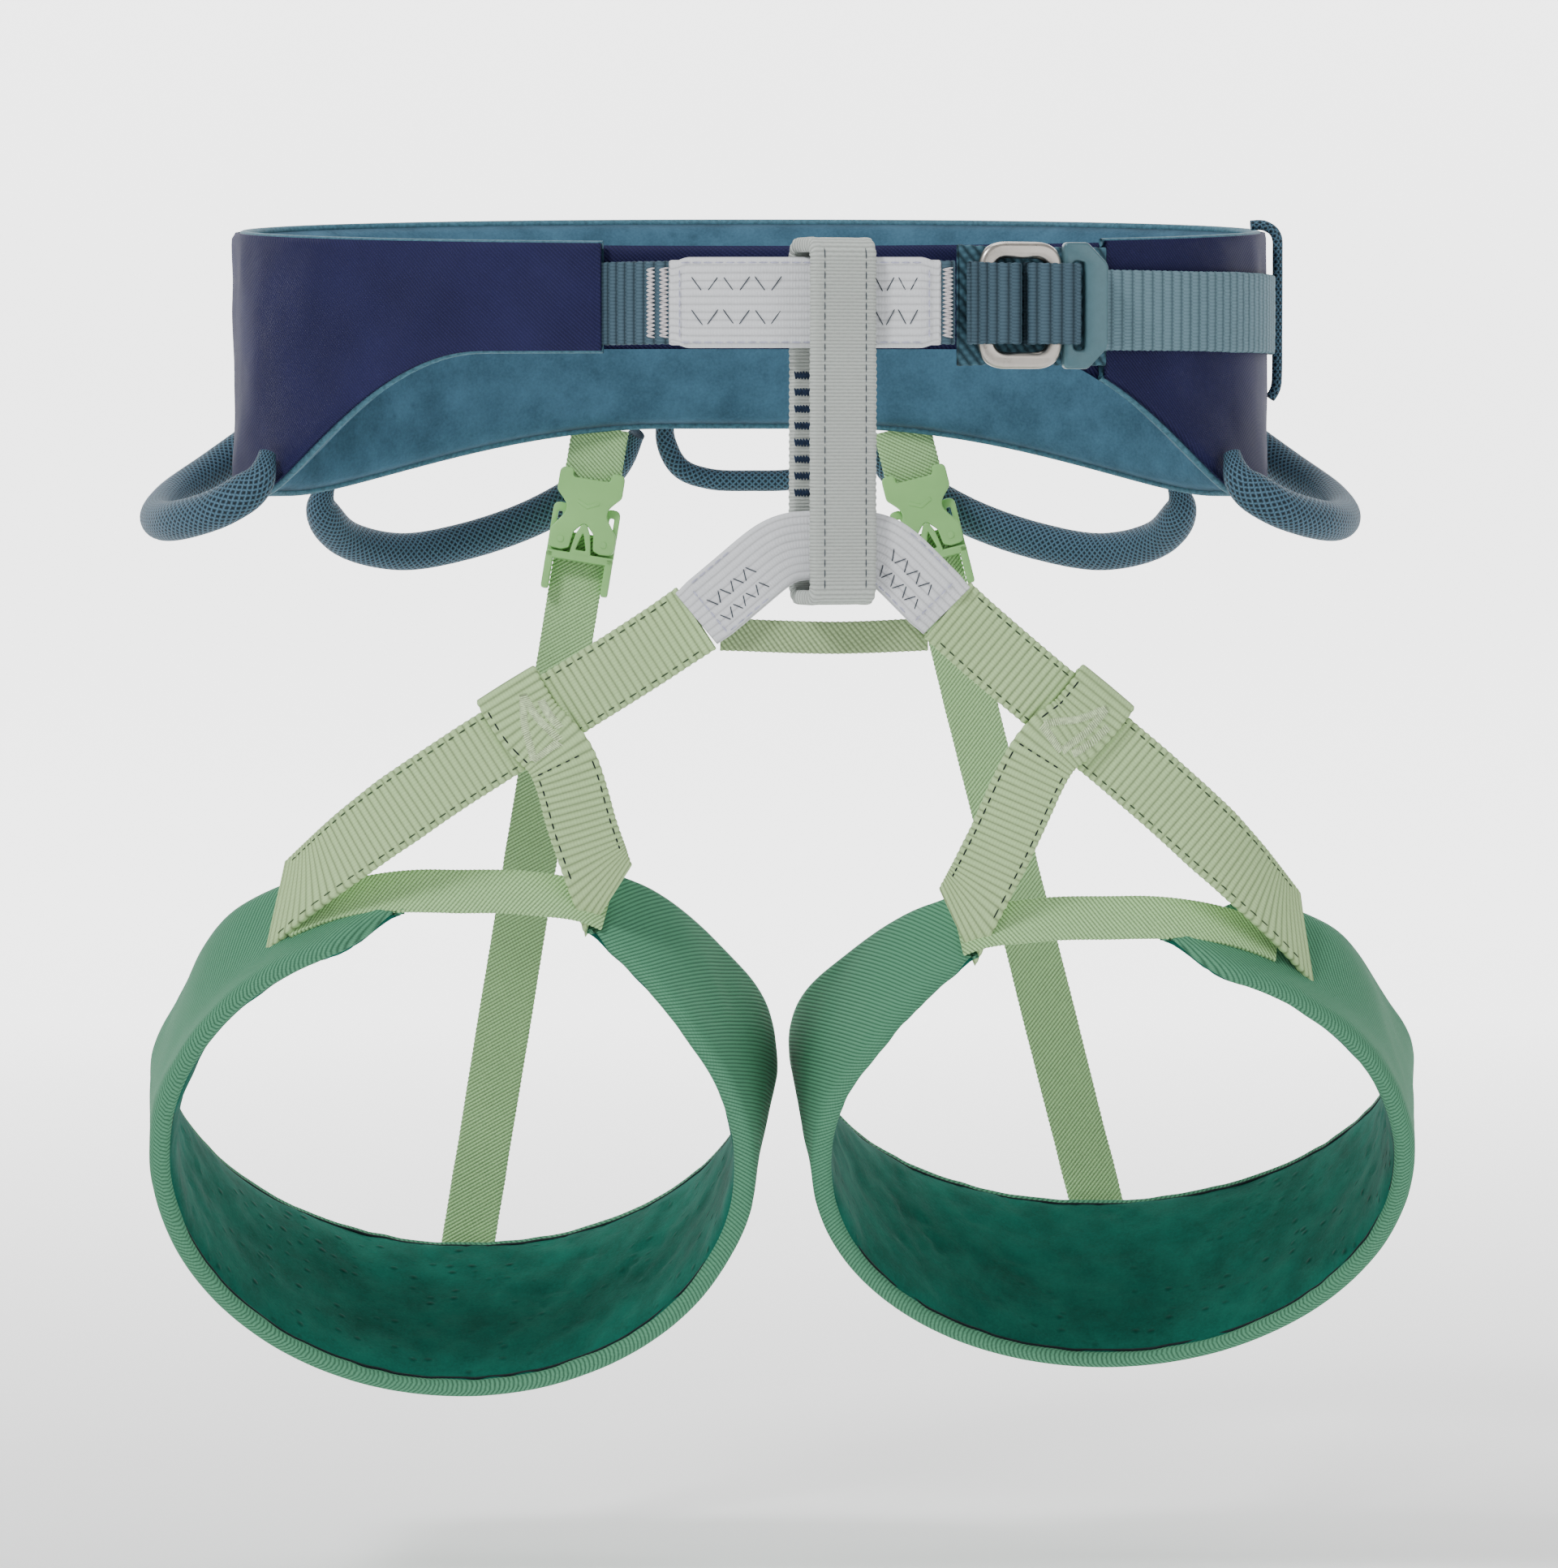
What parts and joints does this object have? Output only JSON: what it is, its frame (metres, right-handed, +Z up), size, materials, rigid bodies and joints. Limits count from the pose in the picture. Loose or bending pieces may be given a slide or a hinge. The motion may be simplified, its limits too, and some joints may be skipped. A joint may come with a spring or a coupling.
{
  "type": "climbing harness",
  "caption": "Sit harness for rock climbing with a padded waist belt, double-back buckle, tie-in points with a belay loop, padded leg loops, rear risers and gear loops.",
  "frame": {"origin": "centre of the waist opening, at the height of the belt buckle's lower part", "axes": "+Z up, -Y to the front, where the belay loop is, +X to the right as seen from the front"},
  "size_m": [0.3713, 0.2238, 0.3454],
  "materials": {
    "belt_fabric": "matte",
    "belt_lining_fabric": "matte",
    "foam": "matte",
    "dark_webbing": "matte",
    "anchor_tape": "matte",
    "tail_webbing": "matte",
    "leg_webbing": "matte",
    "sleeve_fabric": "matte",
    "belay_webbing": "matte",
    "steel": "satin",
    "coated_metal": "satin",
    "gear_sheath": "matte",
    "gear_core": "matte",
    "leg_shell_fabric": "matte",
    "leg_lining_fabric": "matte",
    "elastic": "matte",
    "clip_plastic": "satin"
  },
  "bodies": {
    "waist": {"belt_cover_left": "belt_fabric", "belt_cover_right": "belt_fabric", "belt_cover_back": "belt_fabric", "belt_foam": "foam", "belt_lining": "belt_lining_fabric", "front_tongue": "belt_fabric", "load_webbing": "dark_webbing", "tie_in_webbing": "dark_webbing", "upper_tie_in_sleeve": "sleeve_fabric", "buckle_anchor_strap": "anchor_tape", "waist_webbing_tail": "tail_webbing", "tail_keeper_cord": "dark_webbing", "lower_tie_in_webbing": "leg_webbing", "lower_tie_in_sleeve": "sleeve_fabric", "bridge_strap": "leg_webbing", "riser_top_left": "elastic", "riser_top_right": "elastic", "clip_upper_left": "clip_plastic", "clip_upper_right": "clip_plastic"},
    "waist_buckle": {"buckle_steel_frame": "steel", "buckle_coated_frame": "coated_metal", "buckle_webbing": "dark_webbing"},
    "belay": {"belay_loop": "belay_webbing"},
    "gear_front_left": {"gear_loop_front_left": "gear_sheath", "gear_core_front_left": "gear_core"},
    "gear_front_right": {"gear_loop_front_right": "gear_sheath", "gear_core_front_right": "gear_core"},
    "gear_rear_left": {"gear_loop_rear_left": "gear_sheath", "gear_core_rear_left": "gear_core"},
    "gear_rear_right": {"gear_loop_rear_right": "gear_sheath", "gear_core_rear_right": "gear_core"},
    "gear_centre": {"gear_loop_centre": "gear_sheath", "gear_core_centre": "gear_core"},
    "clip_lower_body_left": {"clip_lower_left": "clip_plastic"},
    "leg_left": {"leg_shell_left": "leg_shell_fabric", "leg_foam_left": "foam", "leg_lining_left": "leg_lining_fabric", "leg_arm_left": "leg_webbing", "leg_branch_left": "leg_webbing", "leg_elastic_left": "elastic", "riser_strap_left": "elastic"},
    "clip_lower_body_right": {"clip_lower_right": "clip_plastic"},
    "leg_right": {"leg_shell_right": "leg_shell_fabric", "leg_foam_right": "foam", "leg_lining_right": "leg_lining_fabric", "leg_arm_right": "leg_webbing", "leg_branch_right": "leg_webbing", "leg_elastic_right": "elastic", "riser_strap_right": "elastic"}
  },
  "joints": [
    {"name": "leg_left_swing", "type": "hinge", "parent": "waist", "child": "leg_left", "pos_m": [0, -0.1025, -0.073], "axis": [1, 0, 0], "range_deg": [-15, 25], "stiffness_Nm_per_rad": 2, "deforming": ["riser_strap_left"]},
    {"name": "rear_clip_left_release", "type": "slide", "parent": "waist", "child": "clip_lower_body_left", "axis": [-0.1596, -0.0774, -0.9841], "range_m": [0, 0.02]},
    {"name": "leg_right_swing", "type": "hinge", "parent": "waist", "child": "leg_right", "pos_m": [0, -0.1025, -0.073], "axis": [1, 0, 0], "range_deg": [-15, 25], "stiffness_Nm_per_rad": 2, "deforming": ["riser_strap_right"]},
    {"name": "rear_clip_right_release", "type": "slide", "parent": "waist", "child": "clip_lower_body_right", "axis": [0.2432, -0.0699, -0.9675], "range_m": [0, 0.02]},
    {"name": "belay_slide", "type": "slide", "parent": "waist", "child": "belay", "axis": [1, 0, 0], "range_m": [-0.0025, 0.0025]},
    {"name": "buckle_swing", "type": "hinge", "parent": "waist", "child": "waist_buckle", "pos_m": [0.06023, -0.09117, 0.013], "axis": [0, 0, 1], "range_deg": [-25, 0]},
    {"name": "gear_front_left_flex", "type": "hinge", "parent": "waist", "child": "gear_front_left", "pos_m": [-0.13636, -0.04787, -0.028], "axis": [0.0238, 0.9883, 0.1504], "range_deg": [-15, 15], "stiffness_Nm_per_rad": 0.1},
    {"name": "gear_front_right_flex", "type": "hinge", "parent": "waist", "child": "gear_front_right", "pos_m": [0.13636, -0.04787, -0.028], "axis": [-0.0238, 0.9883, 0.1504], "range_deg": [-15, 15], "stiffness_Nm_per_rad": 0.1},
    {"name": "gear_rear_left_flex", "type": "hinge", "parent": "waist", "child": "gear_rear_left", "pos_m": [-0.12662, 0.05689, -0.037], "axis": [0.9214, 0.3583, 0.1505], "range_deg": [-15, 15], "stiffness_Nm_per_rad": 0.1},
    {"name": "gear_rear_right_flex", "type": "hinge", "parent": "waist", "child": "gear_rear_right", "pos_m": [0.12662, 0.05689, -0.037], "axis": [-0.9214, 0.3583, 0.1505], "range_deg": [-15, 15], "stiffness_Nm_per_rad": 0.1},
    {"name": "gear_centre_flex", "type": "hinge", "parent": "waist", "child": "gear_centre", "pos_m": [0.026, 0.09431, -0.014], "axis": [-1, 0, 0], "range_deg": [-15, 15], "stiffness_Nm_per_rad": 0.1}
  ]
}
